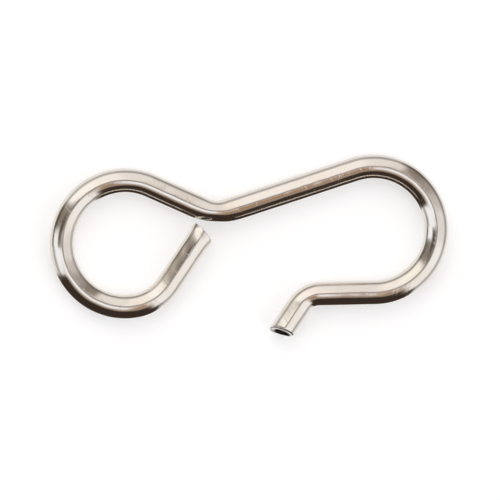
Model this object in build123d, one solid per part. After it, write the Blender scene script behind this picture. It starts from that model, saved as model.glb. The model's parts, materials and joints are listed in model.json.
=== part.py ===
from build123d import *
from math import acos, atan2, cos, degrees, radians, sin
import os

# Curtain hook bent from one length of round wire. It lies flat: the centre line of the wire is in
# the plane Z = 0. The origin is the centre of the eye, and +X runs from the eye to the bow.

# Driving dimensions, in millimetres and degrees
wire_diameter = 1.5
overall_length = 24.7        # outside of the eye to outside of the bow
eye_inner_diameter = 6.3     # passes the ring of a curtain glider
bow_inner_diameter = 6.3     # goes round the pocket of a heading tape
neck_standoff = 1.03         # from the rim of the eye to the corner of the neck, along X
neck_height = 1.45           # that corner above the line through the two centres
neck_bend_radius = 2.2       # to the centre line of the wire, as all bends are
foot_bend_radius = 3.15      # the eye's last turn, into its free leg, is tighter than the rest
foot_turn = 50.0
leg_lean = 53.0              # from +X up to the free leg that closes the eye
eye_gap = 0.27               # slit left between the cut end of that leg and the neck
return_length = 4.22         # from the end of the bow to the corner of the tail
return_lean = 2.0            # the return runs in towards the shank by this much
tail_length = 2.82           # from that corner to the cut end
tail_flare = 55.0            # the tail opens outwards from the return by this much
tail_bend_radius = 1.5
cut_slant = 14.0             # the shear cuts are out of square by this much in the hook's plane
cut_lean = 14.0              # and lean out of that plane's normal by this much
cut_edge_radius = 0.08       # worn off the sharp edge of both cuts

wire_radius = wire_diameter / 2
eye_radius = eye_inner_diameter / 2 + wire_radius
bow_radius = bow_inner_diameter / 2 + wire_radius
eye_centre = Vector(0, 0)
bow_centre = Vector(overall_length - eye_radius - bow_radius - wire_diameter, 0)
neck_corner = Vector(eye_radius + wire_radius + neck_standoff, neck_height)


def direction(angle):
    """Unit vector in the plane of the hook, at an angle from +X."""
    return Vector(cos(radians(angle)), sin(radians(angle)))


def upper_tangent_angle(point, centre, radius):
    """Angle on a circle where the line from a point touches it, on the +Y side."""
    away = point - centre
    bearing = degrees(atan2(away.Y, away.X))
    opening = degrees(acos(radius / away.length))
    return bearing + opening if away.X > 0 else bearing - opening


def round_wire(path):
    """Round wire along a line that starts square to its section."""
    section = Plane(path @ 0, z_dir=path % 0) * Circle(wire_radius)
    return sweep(section, path=path)


def cut_end(bend_end, tip, slant, lean):
    """Straight wire from its last bend to a shear cut, its face turned by the slant and looking up
    by the lean."""
    outward = (tip - bend_end).normalized()
    uncut = round_wire(Line(bend_end, tip + outward * wire_diameter))
    facing = outward.rotate(Axis.Z, slant)
    blade = Plane(tip, z_dir=facing * cos(radians(lean)) + Vector(0, 0, sin(radians(lean))))
    run = split(uncut, bisect_by=blade, keep=Keep.BOTTOM)
    cut_face = run.faces().filter_by(GeomType.PLANE).sort_by_distance(tip)[0]
    return fillet(cut_face.edges(), cut_edge_radius)


def hook_wire():
    """The whole hook, from the cut end of the free leg, round the eye and the bow, to the tail."""
    # The neck and the shank leave their corner as tangents to the eye and to the bow.
    eye_top_angle = upper_tangent_angle(neck_corner, eye_centre, eye_radius)
    bow_top_angle = upper_tangent_angle(neck_corner, bow_centre, bow_radius)
    eye_top = eye_centre + direction(eye_top_angle) * eye_radius
    bow_top = bow_centre + direction(bow_top_angle) * bow_radius
    neck_and_shank = FilletPolyline(eye_top, neck_corner, bow_top, radius=neck_bend_radius)

    # The free leg is a tangent to the foot bend, and the long side of its cut stops short of the neck.
    leg_foot_angle = leg_lean - 90
    foot_angle = leg_foot_angle - foot_turn
    foot_centre = eye_centre + direction(foot_angle) * (eye_radius - foot_bend_radius)
    leg_foot = foot_centre + direction(leg_foot_angle) * foot_bend_radius
    leg_direction = direction(leg_lean)
    neck_to_leg = direction(eye_top_angle) * -1
    approach = leg_direction.dot(neck_to_leg) * -1
    face_turn = radians(eye_top_angle - leg_lean + cut_slant)
    corner_reach = wire_radius * abs(sin(face_turn)) / cos(radians(cut_slant))
    leg_travel = (leg_foot - eye_top).dot(neck_to_leg) - wire_radius - eye_gap - corner_reach
    leg_tip = leg_foot + leg_direction * (leg_travel / approach)

    # The return is a tangent to the bow, and the tail turns outwards from it.
    return_angle = 180 - return_lean
    bow_end_angle = return_angle - 270
    bow_end = bow_centre + direction(bow_end_angle) * bow_radius
    tail_corner = bow_end + direction(return_angle) * return_length
    tail_tip = tail_corner + direction(return_angle + tail_flare) * tail_length
    return_and_tail = FilletPolyline(bow_end, tail_corner, tail_tip, radius=tail_bend_radius).edges()
    tail_bend_end = return_and_tail[-1] @ 0

    bends = round_wire(Wire([
        CenterArc(foot_centre, foot_bend_radius, leg_foot_angle, -foot_turn),
        CenterArc(eye_centre, eye_radius, foot_angle, eye_top_angle - foot_angle - 360),
        *neck_and_shank.edges(),
        CenterArc(bow_centre, bow_radius, bow_top_angle, bow_end_angle - bow_top_angle),
        *return_and_tail[:-1],
    ]))
    # Both cuts are longest on the same side of the wire. One blade leans the same way through the
    # blank at both, so the tail's face looks up and the leg's looks down.
    leg = cut_end(leg_foot, leg_tip, -cut_slant, -cut_lean)
    tail = cut_end(tail_bend_end, tail_tip, cut_slant, cut_lean)
    return bends + leg + tail


os.makedirs("parts", exist_ok=True)
export_step(hook_wire(), "parts/hook_wire.step")
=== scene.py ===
import json
import bpy
import numpy as np
from mathutils import Matrix, Vector


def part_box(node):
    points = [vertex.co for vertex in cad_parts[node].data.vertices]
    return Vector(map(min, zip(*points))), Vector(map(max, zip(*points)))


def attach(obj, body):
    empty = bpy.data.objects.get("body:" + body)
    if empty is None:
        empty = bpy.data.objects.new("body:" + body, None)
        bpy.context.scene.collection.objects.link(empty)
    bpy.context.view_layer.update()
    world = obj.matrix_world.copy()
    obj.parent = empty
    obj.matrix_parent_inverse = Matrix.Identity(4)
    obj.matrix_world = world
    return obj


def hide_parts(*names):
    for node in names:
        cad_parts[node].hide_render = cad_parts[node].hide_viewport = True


# A curtain hook bent from one round wire and bright nickel plated, lying flat on a pale floor.
# Lengths are in metres. Angles are in degrees in the dictionaries, but for the few that a note
# gives in radians, and in radians in the working.

mm = 0.001

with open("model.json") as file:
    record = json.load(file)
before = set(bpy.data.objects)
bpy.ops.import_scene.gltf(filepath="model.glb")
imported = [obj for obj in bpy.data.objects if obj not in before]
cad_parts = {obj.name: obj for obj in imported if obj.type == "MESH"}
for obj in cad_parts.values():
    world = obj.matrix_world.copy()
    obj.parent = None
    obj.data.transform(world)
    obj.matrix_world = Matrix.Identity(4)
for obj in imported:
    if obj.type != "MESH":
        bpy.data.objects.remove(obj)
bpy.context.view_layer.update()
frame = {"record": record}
cadLow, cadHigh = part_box("hook_wire")
mountPlace = {m["name"]: Vector(m["pos_m"]) for m in frame["record"]["mounts"]}
print("frame loaded")


def meshObject(name, points, faces):
    mesh = bpy.data.meshes.new(name)
    mesh.from_pydata(points, [], faces)
    mesh.validate()
    made = bpy.data.objects.new(name, mesh)
    bpy.context.scene.collection.objects.link(made)
    return made


def addNode(tree, kind, inputs, **settings):
    # a socket given as an input is linked, anything else is set as the value
    made = tree.nodes.new(kind)
    for key, value in settings.items():
        setattr(made, key, value)
    for key, value in inputs.items():
        if isinstance(value, bpy.types.NodeSocket):
            tree.links.new(value, made.inputs[key])
        else:
            made.inputs[key].default_value = value
    return made


def addMath(tree, operation, *values):
    return addNode(tree, "ShaderNodeMath", dict(enumerate(values)), operation=operation).outputs[0]


def addMapRange(tree, value, low, high, toLow, toHigh):
    sockets = {"Value": value, "From Min": low, "From Max": high, "To Min": toLow, "To Max": toHigh}
    made = addNode(tree, "ShaderNodeMapRange", sockets, interpolation_type="SMOOTHSTEP")
    return made.outputs["Result"]


def addMixColour(tree, factor, first, second, blend="MIX"):
    made = addNode(tree, "ShaderNodeMix", {0: factor, 6: first, 7: second},
                   data_type="RGBA", blend_type=blend)
    return made.outputs[2]


def newGroup(name, inputs, outputs):
    # inputs and outputs are {socket name: default}, a tuple of 4 being a colour and of 3 a vector
    kinds = {1: "NodeSocketFloat", 3: "NodeSocketVector", 4: "NodeSocketColor"}
    group = bpy.data.node_groups.new(name, "ShaderNodeTree")
    for direction, sockets in (("INPUT", inputs), ("OUTPUT", outputs)):
        for key, default in sockets.items():
            size = len(default) if isinstance(default, tuple) else 1
            made = group.interface.new_socket(name=key, in_out=direction, socket_type=kinds[size])
            made.default_value = default
    return group, group.nodes.new("NodeGroupInput").outputs, group.nodes.new("NodeGroupOutput")


def newMaterial(name):
    material = bpy.data.materials.new(name)
    material.use_nodes = True
    material.node_tree.nodes.clear()
    return material, material.node_tree


wire = {
    "neckStandoff": 1.03 * mm,     # rim of the eye to the corner of the neck, along X
    "neckHeight": 1.45 * mm,       # that corner above the line through the centres
    "neckBend": 2.2 * mm,          # bend radii are to the centre line
    "footBend": 3.15 * mm,         # the eye's last turn, into the free leg, is tighter
    "footTurn": 50,
    "legLean": 53,                 # free leg of the eye, up from +X
    "eyeGap": 0.27 * mm,           # slit between the leg's cut end and the neck
    "returnLength": 4.22 * mm,
    "returnLean": 2,
    "tailLength": 2.82 * mm,
    "tailFlare": 55,
    "tailBend": 1.5 * mm,
    "pinDent": 0.016 * mm,         # flat pressed by the bending pin inside the tight bends
    "pinLength": 0.45 * mm,
    "pinFlatFrom": 0.55,           # where that flat begins, as a share of the way to the inner side
    "pinFlatCurve": 1.5,           # and how softly, as a power
    "neckPinch": 0.16 * mm,        # the wire is pressed thinner across its tight bends, from the
                                   # outer side
    "tailPinch": 0.05 * mm,
    "pinchLength": 0.8 * mm,
    "pinchBulge": 0.12,            # share of the pinch by which the wire swells up and down
    "waviness": 0.0022 * mm,       # unevenness of drawn wire
    "waveCount": 24,
    "waveLengths": (5 * mm, 0.9 * mm),      # longest and shortest
    "endLift": 0.032 * mm,         # the bend before each end sags by this and the end stands up
    "liftSkew": 0.3,               # how far the tip is past the top of that wave
    "liftLengths": (3.4 * mm, 2.3 * mm),    # leg and tail, from the tip to that bend
    "stationStep": 0.085 * mm,
    "pointsAround": 104,
    "seed": 7,
}

cut = {
    "slant": 14,                   # both shear cuts are out of square by this in the hook's plane
    "lean": 14,                    # and by this up or down
    "reach": 1.4 * mm,             # length of wire over which the mesh turns into the cut
    "edge": 0.08 * mm,             # radius worn on the sharp edge
    "platedEdge": 0.6,             # share of that edge which the plate still covers
    "legSqueeze": 0.08,            # the blades squeeze the leg's end wider and lower by this share
    "squeezeLength": 0.5 * mm,
    "legDraw": 0.03 * mm,          # and draw its upper side in before they cut
    "drawLength": 0.3 * mm,
    "drawCurve": 1.5,              # how softly that begins at the sides, as a power
    "burr": 0.05 * mm,             # lip dragged out at the long side
    "burrFlare": 0.02 * mm,
    "burrLength": 0.1 * mm,        # of the wire that the lip takes up
    "burrWidth": 0.5,              # its half width round the wire, in radians
    "burrFrom": 0.84,              # where it begins, as a share of the radius
    "tornTurn": 1.15,              # the torn part is this far round from the long side, in radians
    "tornMiddle": 0.28,            # its middle, half length and half width, as shares of the radius
    "tornReach": 0.95,
    "tornWidth": 0.72,
    "tornRim": 0.3,                # share of its half width over which it begins
    "tornOverEdge": 0.25,          # share of the worn edge that it runs on to
    "tornDepth": 0.02 * mm,        # its roughness
    "tornSink": 1.2,               # and how hollow it is, in times that depth
    "grainCount": 18,
    "grainAcross": (0.9 * mm, 0.1 * mm),    # longest and shortest wave of its grain
    "grainUp": (0.5 * mm, 0.08 * mm),
    "faceRings": 16,
    "edgeRings": 6,
}


def unit(angle):
    # the direction at an angle from +X towards +Y
    return np.array([np.cos(angle), np.sin(angle)])


def tangentAngle(point, centre, radius):
    # where the line from a point touches a circle on the +Y side: its bearing, turned
    # by the angle whose cosine is radius over distance
    away = point - centre
    opening = np.arccos(radius / np.hypot(*away))
    return np.arctan2(away[1], away[0]) + (opening if away[0] > 0 else -opening)


def bentRuns():
    # The wire as a chain of runs (length, turn), from the leg's cut end to the tail's cut end,
    # with the start point and heading. A straight has turn 0; an arc has length radius * turn.
    # The neck and the shank are tangents from one corner to the eye and to the bow.
    radius = (cadHigh.z - cadLow.z) / 2
    eye, bow = (np.array(mountPlace[name].xy) for name in ("eye", "bow"))
    eyeRadius = eye[0] - cadLow.x - radius
    bowRadius = cadHigh.x - bow[0] - radius
    corner = eye + np.array([eyeRadius + radius + wire["neckStandoff"], wire["neckHeight"]])

    eyeTop = tangentAngle(corner, eye, eyeRadius)
    bowTop = tangentAngle(corner, bow, bowRadius)
    neckTurn = bowTop - eyeTop
    neckSetback = wire["neckBend"] * np.tan(neckTurn / 2)
    neckRun = np.hypot(*(corner - eye - eyeRadius * unit(eyeTop))) - neckSetback
    shankRun = np.hypot(*(corner - bow - bowRadius * unit(bowTop))) - neckSetback

    lean = np.radians(wire["legLean"])
    footTurn = np.radians(wire["footTurn"])
    footCentre = eye + (eyeRadius - wire["footBend"]) * unit(lean - np.pi / 2 - footTurn)
    foot = footCentre + wire["footBend"] * unit(lean - np.pi / 2)
    slant = np.radians(cut["slant"])
    travel = (eye + eyeRadius * unit(eyeTop) - foot) @ unit(eyeTop) - wire["eyeGap"]
    travel -= radius * (1 + abs(np.sin(eyeTop - lean + slant)) / np.cos(slant))
    legRun = travel / (unit(lean) @ unit(eyeTop))

    flare = np.radians(wire["tailFlare"])
    tailSetback = wire["tailBend"] * np.tan(flare / 2)
    eyeTurn = 2 * np.pi + lean - np.pi / 2 - eyeTop - footTurn
    bowTurn = bowTop - (np.radians(180 - wire["returnLean"]) - 1.5 * np.pi)
    runs = np.array([
        (legRun, 0),
        (wire["footBend"] * footTurn, -footTurn),
        (eyeRadius * eyeTurn, -eyeTurn),
        (neckRun, 0),
        (wire["neckBend"] * neckTurn, neckTurn),
        (shankRun, 0),
        (bowRadius * bowTurn, -bowTurn),
        (wire["returnLength"] - tailSetback, 0),
        (wire["tailBend"] * flare, flare),
        (wire["tailLength"] - tailSetback, 0),
    ])
    return runs, foot + legRun * unit(lean), lean + np.pi, radius


def followRuns(runs, start, heading, distance):
    # Point and heading at each distance. Over u metres of a run that curves by k, the wire moves
    # u * sinc(k u / 2) along the heading at the middle of that stretch, straight or curved.
    curve = runs[:, 1] / runs[:, 0]
    begins = np.concatenate([[0], np.cumsum(runs[:-1, 0])])
    headings = heading + np.concatenate([[0], np.cumsum(runs[:-1, 1])])
    half = curve * runs[:, 0] / 2
    steps = (runs[:, 0] * np.sinc(half / np.pi)) * unit(headings + half)
    places = start[:, None] + np.concatenate([np.zeros((2, 1)), np.cumsum(steps, 1)[:, :-1]], 1)
    run = np.clip(np.searchsorted(begins, distance, "right") - 1, 0, len(runs) - 1)
    along = distance - begins[run]
    half = curve[run] * along / 2
    point = places[:, run] + along * np.sinc(half / np.pi) * unit(headings[run] + half)
    return point, headings[run] + curve[run] * along


def wireProfile(length, radius):
    # The surface from pole to pole as (distance along the wire, distance from the centre line):
    # a flat face, a quarter round edge, the straight side, and the same again reversed.
    edge = cut["edge"]
    face = np.linspace(0, radius - edge, cut["faceRings"], endpoint=False)
    turn = np.linspace(0, np.pi / 2, cut["edgeRings"], endpoint=False)
    distance = np.concatenate([np.zeros_like(face), edge * (1 - np.cos(turn))])
    reach = np.concatenate([face, radius - edge + edge * np.sin(turn)])
    side = np.linspace(edge, length - edge, int(length / wire["stationStep"]))
    return (np.concatenate([distance, side, length - distance[::-1]]),
            np.concatenate([reach, np.full_like(side, radius), reach[::-1]]))


def waves(across, around, count, longest, shortest, random):
    # Smooth unevenness between about -1 and 1: a sum of cosines of
    # (0 to 5 whole turns * angle round + 2 pi * distance / wave length + phase), each with a
    # random weight of 0.4 to 1, over the root of half their number
    total = np.zeros(np.broadcast(across, around).shape)
    for turns, wavelength, phase, weight in zip(
            random.integers(0, 6, count), random.uniform(shortest, longest, count),
            random.uniform(0, 2 * np.pi, count), random.uniform(0.4, 1, count)):
        total += weight * np.cos(turns * around + 2 * np.pi * across / wavelength + phase)
    return total / np.sqrt(count / 2)


def bump(distance, centre, width):
    # a bell of height 1: e to the minus square of (distance - centre) / width
    return np.exp(-((distance - centre) / width) ** 2)


def makeHookWire():
    # A grid of rings along the wire by points round it: each point is the centre line's point at
    # its distance, plus its reach to the side and its reach up, worked out as whole arrays.
    random = np.random.default_rng(wire["seed"])
    runs, start, heading, radius = bentRuns()
    length = runs[:, 0].sum()
    ends = np.cumsum(runs[:, 0])
    neckMiddle, tailMiddle = ends[4] - runs[4, 0] / 2, ends[8] - runs[8, 0] / 2
    distance, reach = (a[:, None] for a in wireProfile(length, radius))
    around = np.linspace(0, 2 * np.pi, wire["pointsAround"], endpoint=False)[None, :]
    side, up = np.cos(around), np.sin(around)        # side is towards the left of the path

    # Tight bends: pressed thinner across the bend from the outer side, which is -1 for side, with
    # a swelling up and down, and a flat from the pin on the inner side.
    share = reach / radius
    pinch = (wire["neckPinch"] * bump(distance, neckMiddle, wire["pinchLength"])
             + wire["tailPinch"] * bump(distance, tailMiddle, wire["pinchLength"]))
    pin = (bump(distance, neckMiddle, wire["pinLength"])
           + bump(distance, tailMiddle, wire["pinLength"]))
    flatFrom = wire["pinFlatFrom"]
    inner = np.clip((side - flatFrom) / (1 - flatFrom), 0, 1) ** wire["pinFlatCurve"]
    sideReach = side * reach + share * (pinch * (1 - side) / 2 - wire["pinDent"] * pin * inner)
    upReach = up * (reach + pinch * wire["pinchBulge"] * share)
    uneven = 1 + share**2 * wire["waviness"] / radius * waves(
        distance, around, wire["waveCount"], *wire["waveLengths"], random)
    sideReach, upReach = sideReach * uneven, upReach * uneven

    # Shear cuts: every point near an end slides along the wire, by its height * tan(lean)
    # / cos(slant) and by its distance to the side * tan(slant), less and less up to the reach.
    fromEnd = np.minimum(distance, length - distance)
    outward = np.where(distance < length / 2, -1, 1)
    atLeg = outward < 0
    squeeze = atLeg * cut["legSqueeze"] * bump(fromEnd, 0, cut["squeezeLength"])
    sideReach, upReach = sideReach * (1 + squeeze), upReach * (1 - squeeze)
    blend = np.clip(1 - fromEnd / cut["reach"], 0, 1)
    blend = blend * blend * (3 - 2 * blend)
    slant, lean = np.radians(cut["slant"]), np.radians(cut["lean"])
    slide = -(upReach * np.tan(lean) / np.cos(slant) + outward * sideReach * np.tan(slant)) * blend

    # The blade draws the leg's upper side in, and leaves a lip on the long side of both cuts.
    longSide = np.arctan2(-outward * np.tan(lean) / np.cos(slant), -np.tan(slant))
    turned = np.angle(np.exp(1j * (around - longSide)))
    draw = atLeg * cut["legDraw"] * bump(fromEnd, 0, cut["drawLength"])
    upReach -= share * draw * np.clip(up, 0, 1) ** cut["drawCurve"]
    lip = bump(turned, 0, cut["burrWidth"]) * bump(fromEnd, 0, cut["burrLength"])
    lip *= np.clip((share - cut["burrFrom"]) / (1 - cut["burrFrom"]), 0, 1)
    slide += outward * cut["burr"] * lip
    sideReach += side * cut["burrFlare"] * lip
    upReach += up * cut["burrFlare"] * lip

    # The blade slid over one side of the face, and the rest tore and is hollow: an oval in which
    # ((along - middle) / reach)^2 + (across / width)^2 < 1.
    tornAngle = turned - outward * cut["tornTurn"]
    along = (share * np.cos(tornAngle) - cut["tornMiddle"]) / cut["tornReach"]
    across = share * np.sin(tornAngle) / cut["tornWidth"]
    tornAndShaded = np.clip((1 - np.hypot(along, across)) / cut["tornRim"], 0, 1)
    tornAndShaded *= fromEnd < cut["edge"] * cut["tornOverEdge"]
    count = cut["grainCount"]
    grain = waves(reach * side, 0 * around, count, *cut["grainAcross"], random)
    grain += waves(reach * up, 0 * around, count, *cut["grainUp"], random)
    slide += outward * tornAndShaded * cut["tornDepth"] * (grain - cut["tornSink"])

    place = np.clip(distance + slide, -radius, length + radius)
    point, facing = followRuns(runs, start, heading, place)
    x = point[0] - np.sin(facing) * sideReach
    y = point[1] + np.cos(facing) * sideReach

    # Up at the tip, down at the bend and level again at twice that length: a sum over the ends of
    # lift * cos(pi * (t + skew) / (1 + skew)) up to t = 1, then of lift * (cos(pi * t) - 1) / 2
    # up to t = 2, where t is the distance from the tip over that to the bend.
    lift, skew = 0, wire["liftSkew"]
    for fromTip, bend in zip((place, length - place), wire["liftLengths"]):
        t = np.clip(fromTip / bend, 0, 2)
        lift = lift + wire["endLift"] * np.where(
            t < 1, np.cos(np.pi * (t + skew) / (1 + skew)), (np.cos(np.pi * t) - 1) / 2)
    z = upReach + lift + (cadLow.z + cadHigh.z) / 2
    grid = np.stack([x, y, z], -1)[1:-1]             # without the two rings that are poles
    rings, points = grid.shape[:2]
    poles = np.array([[axis[end].mean() for axis in (x, y, z)] for end in (0, -1)])

    # Faces point outwards: quads between rings, closed round the wire, and a fan at each pole.
    index = np.arange(rings * points).reshape(rings, points)
    beside = np.roll(index, -1, 1)
    quads = np.stack([index[:-1], beside[:-1], beside[1:], index[1:]], -1).reshape(-1, 4)
    first = np.stack([np.full(points, rings * points), beside[0], index[0]], -1)
    last = np.stack([np.full(points, rings * points + 1), index[-1], beside[-1]], -1)
    made = meshObject("hookWire", np.concatenate([grid.reshape(-1, 3), poles]),
                      quads.tolist() + first.tolist() + last.tolist())

    # Along and round the wire in millimetres, with no seam, for patterns that follow the wire.
    onWire = np.stack(np.broadcast_arrays(side * reach, up * reach, distance), -1)[1:-1]
    onWire = np.concatenate([onWire.reshape(-1, 3), [(0, 0, 0), (0, 0, length)]]) / mm
    followsWire = made.data.attributes.new("followsWire", "FLOAT_VECTOR", "POINT")
    followsWire.data.foreach_set("vector", onWire.ravel())
    # the torn part is also where the sheared face's colour paints the shade of the cut face
    tornAndShadedPart = made.data.attributes.new("tornAndShaded", "FLOAT", "POINT")
    tornAndShadedPart.data.foreach_set("value", np.concatenate([tornAndShaded[1:-1].ravel(), tornAndShaded[[0, -1], 0]]))

    # UV map: U round the wire, V along it.
    u = np.broadcast_to(np.arange(points) / points, (rings, points))
    v = np.broadcast_to(distance[1:-1] / length, (rings, points))
    uNext = u + 1 / points
    quadUv = np.stack([np.stack([a, b], -1) for a, b in (
        (u[:-1], v[:-1]), (uNext[:-1], v[:-1]), (uNext[1:], v[1:]), (u[1:], v[1:]))], -2)
    firstUv = np.stack([np.stack([u[0], 0 * u[0]], -1), np.stack([uNext[0], v[0]], -1),
                        np.stack([u[0], v[0]], -1)], -2)
    lastUv = np.stack([np.stack([u[-1], 0 * u[0] + 1], -1), np.stack([u[-1], v[-1]], -1),
                       np.stack([uNext[-1], v[-1]], -1)], -2)
    faceUv = np.concatenate([a.reshape(-1, 2) for a in (quadUv, firstUv, lastUv)])
    made.data.uv_layers.new(name="roundAndAlong").data.foreach_set("uv", faceUv.ravel())

    # Material 0 is the plated side, material 1 the sheared faces.
    onCut = reach[1:-1, 0] < radius - cut["edge"] * cut["platedEdge"]
    quadCut = np.repeat((onCut[:-1] | onCut[1:]).astype(np.int32), points)
    sheared = np.concatenate([quadCut, np.ones(2 * points, np.int32)])
    made.data.polygons.foreach_set("material_index", sheared)
    made.data.polygons.foreach_set("use_smooth", np.ones(len(made.data.polygons), bool))
    made.data.update()
    return made


hookWire = makeHookWire()
print("wire bent:", len(hookWire.data.vertices), "points")


nickel = {
    "colour": (0.80, 0.755, 0.70, 1),
    "warmColour": (0.79, 0.725, 0.645, 1),   # where the plate is thin
    "patchScale": 500.0,                     # patches of that tone per metre
    "patchRange": (0.42, 0.68),              # noise between which the tone changes
    "speckShade": (0.62, 0.58, 0.53, 1),     # specks are darker by this
    "speckScale": 5200.0,
    "speckRange": (0.68, 0.78),
    "speckAmount": 0.35,
    "scratchFineness": 9000.0,               # hair scratches per metre, across and along them
    "scratchLength": 420.0,
    "scratchRange": (0.66, 0.74),
    "scratchTurns": ((0.3, 0.2, 0.5), (-0.5, 0.2, -0.9)),    # two sets that cross, in radians
    "scratchAmount": 0.6,
    "scratchDepth": 0.0016 * mm,
    "lineFineness": 11,                      # draw lines per millimetre round the wire
    "lineLength": 0.12,                      # draw lines per millimetre along it
    "lineRange": (0.4, 0.75),
    "lineDepth": 0.0011 * mm,
    "rippleScale": 1.1,                      # slow unevenness of the plate, per millimetre
    "rippleDepth": 0.0035 * mm,
    "roughness": 0.09,
    "roughnessLines": 0.04,                  # added in the draw lines
    "roughnessSmudge": 0.04,                 # added where the wire was handled
    "roughnessScratch": 0.1,                 # added in the scratches
}


def makePlateTone():
    # Plate colour: two tones mixed by a slow noise, with small darker specks, and a smudge mask.
    group, given, out = newGroup("plateTone", {
        "Vector": (0.0, 0.0, 0.0), "Clean": nickel["colour"], "Warm": nickel["warmColour"],
        "Patch Scale": nickel["patchScale"], "Speck Scale": nickel["speckScale"],
        "Speck Amount": nickel["speckAmount"],
    }, {"Colour": (1.0, 1.0, 1.0, 1.0), "Smudge": 0.0})
    patch = addNode(group, "ShaderNodeTexNoise", {
        "Vector": given["Vector"], "Scale": given["Patch Scale"], "Detail": 3.0, "Roughness": 0.55})
    smudge = addMapRange(group, patch.outputs["Fac"], *nickel["patchRange"], 0.0, 1.0)
    speckNoise = addNode(group, "ShaderNodeTexNoise", {
        "Vector": given["Vector"], "Scale": given["Speck Scale"], "Detail": 2.0, "Roughness": 0.6})
    speck = addMapRange(group, speckNoise.outputs["Fac"], *nickel["speckRange"], 0.0, 1.0)
    tone = addMixColour(group, smudge, given["Clean"], given["Warm"])
    dark = addMixColour(group, 1.0, tone, nickel["speckShade"], "MULTIPLY")
    shade = addMath(group, "MULTIPLY", speck, given["Speck Amount"])
    group.links.new(addMixColour(group, shade, tone, dark), out.inputs["Colour"])
    group.links.new(smudge, out.inputs["Smudge"])
    return group


def makeHairScratches():
    # Hair scratches: noise stretched along a turned axis and cut to its thin crests,
    # two sets that cross, as a mask that is 1 in a scratch.
    group, given, out = newGroup("hairScratches", {
        "Vector": (0.0, 0.0, 0.0), "Fineness": nickel["scratchFineness"],
        "Length": nickel["scratchLength"], "Amount": nickel["scratchAmount"],
    }, {"Scratch": 0.0})
    sets = []
    for turns in nickel["scratchTurns"]:
        turned = addNode(group, "ShaderNodeVectorRotate", {
            "Vector": given["Vector"], "Rotation": turns}, rotation_type="EULER_XYZ")
        scale = addNode(group, "ShaderNodeCombineXYZ", {
            "X": given["Fineness"], "Y": given["Length"], "Z": given["Length"]})
        stretched = addNode(group, "ShaderNodeVectorMath", {
            0: turned.outputs[0], 1: scale.outputs[0]}, operation="MULTIPLY")
        noise = addNode(group, "ShaderNodeTexNoise", {
            "Vector": stretched.outputs[0], "Scale": 1.0, "Detail": 1.0, "Roughness": 0.4})
        sets.append(addMapRange(
            group, noise.outputs["Fac"], *nickel["scratchRange"], 0.0, 1.0))
    both = addMath(group, "MAXIMUM", *sets)
    group.links.new(addMath(group, "MULTIPLY", both, given["Amount"]), out.inputs["Scratch"])
    return group


plateTone = makePlateTone()
hairScratches = makeHairScratches()


def useGroup(tree, group, inputs):
    return addNode(tree, "ShaderNodeGroup", inputs, node_tree=group).outputs


def addBump(tree, height, depth, normal=None):
    sockets = {"Height": height, "Distance": depth, "Strength": 1.0}
    if normal is not None:
        sockets["Normal"] = normal
    return addNode(tree, "ShaderNodeBump", sockets).outputs["Normal"]


def finishMaterial(tree, sockets, **constants):
    shader = addNode(tree, "ShaderNodeBsdfPrincipled", {**sockets, **constants})
    out = tree.nodes.new("ShaderNodeOutputMaterial")
    tree.links.new(shader.outputs[0], out.inputs["Surface"])


def makeNickelPlate():
    material, tree = newMaterial("nickelPlate")
    place = addNode(tree, "ShaderNodeTexCoord", {}).outputs["Object"]
    onWire = addNode(tree, "ShaderNodeAttribute", {},
                     attribute_name="followsWire").outputs["Vector"]
    tone = useGroup(tree, plateTone, {"Vector": place})
    scratch = useGroup(tree, hairScratches, {"Vector": place})["Scratch"]

    fine = nickel["lineFineness"]
    lineSpace = addNode(tree, "ShaderNodeVectorMath", {
        0: onWire, 1: (fine, fine, nickel["lineLength"])}, operation="MULTIPLY").outputs[0]
    lines = addNode(tree, "ShaderNodeTexNoise", {
        "Vector": lineSpace, "Scale": 1.0, "Detail": 4.0, "Roughness": 0.62}).outputs["Fac"]
    ripple = addNode(tree, "ShaderNodeTexNoise", {
        "Vector": onWire, "Scale": nickel["rippleScale"], "Detail": 2.0,
        "Roughness": 0.45}).outputs["Fac"]

    normal = addBump(tree, ripple, nickel["rippleDepth"])
    normal = addBump(tree, lines, nickel["lineDepth"], normal)
    unscratched = addMath(tree, "SUBTRACT", 1.0, scratch)
    normal = addBump(tree, unscratched, nickel["scratchDepth"], normal)
    crests = addMapRange(tree, lines, *nickel["lineRange"], 0.0, 1.0)
    rough = addMath(tree, "MULTIPLY_ADD", crests, nickel["roughnessLines"], nickel["roughness"])
    rough = addMath(tree, "MULTIPLY_ADD", tone["Smudge"], nickel["roughnessSmudge"], rough)
    rough = addMath(tree, "MULTIPLY_ADD", scratch, nickel["roughnessScratch"], rough)
    finishMaterial(tree, {"Base Color": tone["Colour"], "Roughness": rough, "Normal": normal},
                   Metallic=1.0)
    return material


shearedFace = {
    "slidColour": (0.72, 0.68, 0.63, 1),     # where the blade slid
    "slidWarmColour": (0.62, 0.56, 0.49, 1),
    "tornShadeColour": (0.085, 0.073, 0.062, 1),  # where the wire tore, made much darker with painted shade of the cut face
    "slidRoughness": 0.14,
    "tornRoughness": 0.55,
    "patchScale": 2600.0,
    "speckScale": 9000.0,
    "speckAmount": 0.9,
    "pitScale": 7000.0,
    "pitDepth": 0.012 * mm,
    "grooveFineness": 16000.0,               # grooves left by the blade, as the hair scratches
    "grooveLength": 900.0,
    "grooveAmount": 0.9,
    "grooveDepth": 0.004 * mm,
}


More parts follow.
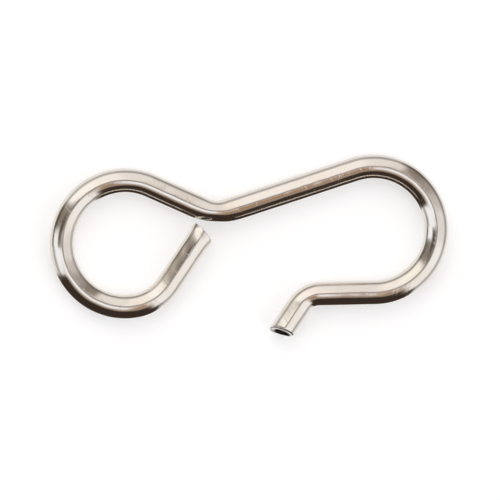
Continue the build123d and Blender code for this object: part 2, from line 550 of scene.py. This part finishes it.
def makeShearedFace():
    # The cut: bright and scratched where the blade slid, dull and pitted where it tore, with
    # painted shade darkening that torn part.
    material, tree = newMaterial("shearedFace")
    place = addNode(tree, "ShaderNodeTexCoord", {}).outputs["Object"]
    tornAndShaded = addNode(tree, "ShaderNodeAttribute", {}, attribute_name="tornAndShaded").outputs["Fac"]
    tone = useGroup(tree, plateTone, {
        "Vector": place, "Clean": shearedFace["slidColour"], "Warm": shearedFace["slidWarmColour"],
        "Patch Scale": shearedFace["patchScale"], "Speck Scale": shearedFace["speckScale"],
        "Speck Amount": shearedFace["speckAmount"]})
    groove = useGroup(tree, hairScratches, {
        "Vector": place, "Fineness": shearedFace["grooveFineness"],
        "Length": shearedFace["grooveLength"], "Amount": shearedFace["grooveAmount"]})["Scratch"]
    pits = addNode(tree, "ShaderNodeTexNoise", {
        "Vector": place, "Scale": shearedFace["pitScale"], "Detail": 5.0,
        "Roughness": 0.6}).outputs["Fac"]
    # the torn part's near-black colour is painted shade of the cut face, over its real dullness
    colour = addMixColour(tree, tornAndShaded, tone["Colour"], shearedFace["tornShadeColour"])
    normal = addBump(tree, addMath(tree, "MULTIPLY", pits, tornAndShaded), shearedFace["pitDepth"])
    normal = addBump(tree, groove, shearedFace["grooveDepth"], normal)
    dull = shearedFace["tornRoughness"] - shearedFace["slidRoughness"]
    rough = addMath(tree, "MULTIPLY_ADD", tornAndShaded, dull, shearedFace["slidRoughness"])
    finishMaterial(tree, {"Base Color": colour, "Roughness": rough, "Normal": normal},
                   Metallic=1.0)
    return material


hookWire.data.materials.append(makeNickelPlate())
hookWire.data.materials.append(makeShearedFace())
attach(hookWire, "root")
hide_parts("hook_wire")
print("plated")


studio = {
    # light panels and dark corners round the table: the bearing of each edge, in degrees from
    # +X towards +Y, and the colour between
    "panels": [
        (-178, -94, (1.08, 1.12, 1.19)),     # left, and over the front
        (-84, -70, (0.40, 0.225, 0.105)),
        (-63, -19, (1.07, 1.07, 1.09)),      # right
        (-13, 8, (0.88, 0.87, 0.87)),
        (15, 21, (0.66, 0.63, 0.61)),
        (32, 35, (0.42, 0.38, 0.36)),
        (43, 53, (0.29, 0.25, 0.22)),        # corner
        (61, 86, (0.96, 0.92, 0.90)),        # back
        (94, 108, (1.13, 1.08, 1.05)),
        (116, 138.5, (1.20, 1.18, 1.15)),
        (144.5, 146, (0.33, 0.29, 0.25)),
        (153, 160, (0.27, 0.23, 0.195)),     # corner
        (170, 178, (0.22, 0.19, 0.155)),
    ],
    # masks: a colour, with the bearings and the heights between which it fades in and out
    "cornerTop": (0.10, 0.083, 0.068),    # the corner is darker high up
    "cornerBearings": (147, 157, 175, 180),
    "cornerHeights": (46, 56, 100, 101),
    "leftWing": (1.10, 1.14, 1.20),       # part of the left panel that reaches behind the corner
    "wingBearings": (161, 171, 181, 182),
    "wingHeights": (-6, 4, 41, 51),
    "front": (0.046, 0.032, 0.025),       # the open side, where no panel stands
    "frontBearings": (-158, -153, -68, -60),
    "frontHeights": (-64, -48, 40, 52),
    "frontEndBearings": (-74, -68, -60, -52),     # lower where it ends
    "frontEndHeights": (-64, -48, 0, 30),
    "frontRim": (0.40, 0.31, 0.245),      # brownish over its upper edge
    "frontRimHeights": (-30, -20, 52, 72),
    "table": (0.98, 0.97, 0.96),
    "tableEdge": (-26, -12),
    "gapBrightness": 0.48,                # of the panels where they end, near the table's level
    "gapHeights": (-32, -14, 4, 20),
    "overhead": (0.42, 0.37, 0.35),       # a dark disc straight above the table
    "overheadHeights": (80, 86),
    "lean": 4.0,                          # the whole surround leans to the left by this
    "backdrop": (1.0, 1.0, 1.0),
    "floorColour": (0.925, 0.93, 0.935),
    "floorGlow": 0.42,
    "floorSize": 6.0,
    "lampPower": 0.03,
    "lampSize": 0.16,
    "lampPlace": (-0.06, 0.14, 0.22),
}


def makeSurround():
    # The world, by direction: panels and corners by compass bearing, the table below, and masks
    # that are 1 between an inner pair of angles and fade out to an outer pair.
    world = bpy.data.worlds.new("studioSurround")
    bpy.context.scene.world = world
    world.use_nodes = True
    tree = world.node_tree
    tree.nodes.clear()
    toward = addNode(tree, "ShaderNodeTexCoord", {}).outputs["Generated"]
    lean = float(np.radians(studio["lean"]))
    leaning = addNode(tree, "ShaderNodeVectorRotate", {"Vector": toward, "Angle": -lean},
                      rotation_type="Y_AXIS").outputs[0]
    axes = addNode(tree, "ShaderNodeSeparateXYZ", {0: leaning}).outputs
    bearing = addMath(tree, "DEGREES", addMath(tree, "ARCTAN2", axes["Y"], axes["X"]))
    height = addMath(tree, "DEGREES", addMath(tree, "ARCSINE", axes["Z"]))

    def between(value, angles):
        low, full, end, high = angles
        return addMath(tree, "MULTIPLY", addMapRange(tree, value, low, full, 0.0, 1.0),
                       addMapRange(tree, value, end, high, 1.0, 0.0))

    turned = addNode(tree, "ShaderNodeMapRange", {
        "Value": bearing, "From Min": -180.0, "From Max": 180.0})
    ramp = addNode(tree, "ShaderNodeValToRGB", {"Fac": turned.outputs["Result"]})
    stops = [(edge, colour) for start, end, colour in studio["panels"] for edge in (start, end)]
    while len(ramp.color_ramp.elements) > 1:
        ramp.color_ramp.elements.remove(ramp.color_ramp.elements[-1])
    brightest = max(max(colour) for _, colour in stops)
    for number, (edge, colour) in enumerate(stops):
        elements = ramp.color_ramp.elements
        element = elements[0] if number == 0 else elements.new((edge + 180) / 360)
        element.position = (edge + 180) / 360
        element.color = (*(c / brightest for c in colour), 1)
    panels = addNode(tree, "ShaderNodeVectorMath", {
        0: ramp.outputs["Color"], "Scale": brightest}, operation="SCALE").outputs[0]

    gap = between(height, studio["gapHeights"])
    gapShade = addMath(tree, "MULTIPLY_ADD", gap, studio["gapBrightness"] - 1, 1.0)
    panels = addNode(tree, "ShaderNodeVectorMath", {
        0: panels, "Scale": gapShade}, operation="SCALE").outputs[0]
    above = addMapRange(tree, height, *studio["tableEdge"], 0.0, 1.0)
    colour = addMixColour(tree, above, (*studio["table"], 1), panels)
    overhead = addMapRange(tree, height, *studio["overheadHeights"], 0.0, 1.0)
    colour = addMixColour(tree, overhead, colour, (*studio["overhead"], 1))
    for name, bearings, heights in (("cornerTop", "cornerBearings", "cornerHeights"),
                                    ("leftWing", "wingBearings", "wingHeights"),
                                    ("frontRim", "frontBearings", "frontRimHeights"),
                                    ("front", "frontBearings", "frontHeights"),
                                    ("front", "frontEndBearings", "frontEndHeights")):
        inside = addMath(tree, "MULTIPLY", between(bearing, studio[bearings]),
                         between(height, studio[heights]))
        colour = addMixColour(tree, inside, colour, (*studio[name], 1))
    light = addNode(tree, "ShaderNodeBackground", {"Color": colour, "Strength": 1.0})
    seen = addNode(tree, "ShaderNodeBackground", {
        "Color": (*studio["backdrop"], 1), "Strength": 1.0})
    isCamera = addNode(tree, "ShaderNodeLightPath", {}).outputs["Is Camera Ray"]
    mixed = addNode(tree, "ShaderNodeMixShader", {
        0: isCamera, 1: light.outputs[0], 2: seen.outputs[0]})
    out = tree.nodes.new("ShaderNodeOutputWorld")
    tree.links.new(mixed.outputs[0], out.inputs["Surface"])


def makeFloor():
    # A square of white paper at the wire's lowest point. The camera sees it with a glow added, so
    # that it is white and still takes the shadow. Mirror rays pass through it to the surround's
    # own table.
    half = studio["floorSize"] / 2
    level = min(corner[2] for corner in hookWire.bound_box)
    print("floor at", round(level / mm, 4), "mm")
    points = [(x * half, y * half, level) for x, y in ((-1, -1), (1, -1), (1, 1), (-1, 1))]
    floor = meshObject("floor", points, [(0, 1, 2, 3)])
    material, tree = newMaterial("paper")
    path = addNode(tree, "ShaderNodeLightPath", {}).outputs
    paper = addNode(tree, "ShaderNodeBsdfDiffuse", {"Color": (*studio["floorColour"], 1)})
    glow = addNode(tree, "ShaderNodeEmission", {
        "Color": (*studio["floorColour"], 1),
        "Strength": addMath(tree, "MULTIPLY", path["Is Camera Ray"], studio["floorGlow"])})
    white = addNode(tree, "ShaderNodeAddShader", {0: paper.outputs[0], 1: glow.outputs[0]})
    clear = addNode(tree, "ShaderNodeBsdfTransparent", {})
    mirror = addMath(tree, "MAXIMUM", path["Is Glossy Ray"], path["Is Transmission Ray"])
    mixed = addNode(tree, "ShaderNodeMixShader", {
        0: mirror, 1: white.outputs[0], 2: clear.outputs[0]})
    out = tree.nodes.new("ShaderNodeOutputMaterial")
    tree.links.new(mixed.outputs[0], out.inputs["Surface"])
    floor.data.materials.append(material)


def makeLamp():
    # A weak softbox, only for the soft shadow on the paper.
    centre = (cadLow + cadHigh) / 2
    data = bpy.data.lights.new("softbox", "AREA")
    data.shape = "SQUARE"
    data.size = studio["lampSize"]
    data.energy = studio["lampPower"]
    lamp = bpy.data.objects.new("softbox", data)
    lamp.location = centre + Vector(studio["lampPlace"])
    lamp.rotation_euler = (centre - lamp.location).to_track_quat("-Z", "Y").to_euler()
    lamp.visible_glossy = False        # the surround is what the polished wire reflects
    bpy.context.scene.collection.objects.link(lamp)


camera = {
    "lens": 700,
    "clipStart": 0.005,
    "clipEnd": 50,
    "fill": 0.80,            # share of the view's width that the hook takes
    "turn": 3.2,             # the hook lies turned by this much, anticlockwise in the view
    "fromLeft": 4.0,         # degrees off straight above, to the eye's side
    "fromTop": 0.8,          # and to the shank's side
}


def makeCamera():
    # It looks at the middle of the hook from straight above, leaned by the tangents of the two
    # angles, and from as far as the hook's length over its share of the view needs.
    centre = (cadLow + cadHigh) / 2
    data = bpy.data.cameras.new("camera")
    data.lens = camera["lens"]
    data.clip_start = camera["clipStart"]
    data.clip_end = camera["clipEnd"]
    seen = bpy.data.objects.new("camera", data)
    turn, left, top = (np.radians(camera[key]) for key in ("turn", "fromLeft", "fromTop"))
    right = Vector((np.cos(turn), -np.sin(turn), 0))
    upward = Vector((np.sin(turn), np.cos(turn), 0))
    back = (Vector((0, 0, 1)) - right * np.tan(left) + upward * np.tan(top)).normalized()
    across = (upward.cross(back)).normalized()
    axes = Matrix((across, back.cross(across), back)).transposed()
    width = (cadHigh.x - cadLow.x) / camera["fill"]
    distance = width * data.lens / data.sensor_width
    seen.matrix_world = Matrix.Translation(centre + back * distance) @ axes.to_4x4()
    bpy.context.scene.collection.objects.link(seen)
    bpy.context.scene.camera = seen


makeSurround()
makeFloor()
makeLamp()
makeCamera()
bpy.context.scene.view_settings.view_transform = "Standard"
print("studio set")
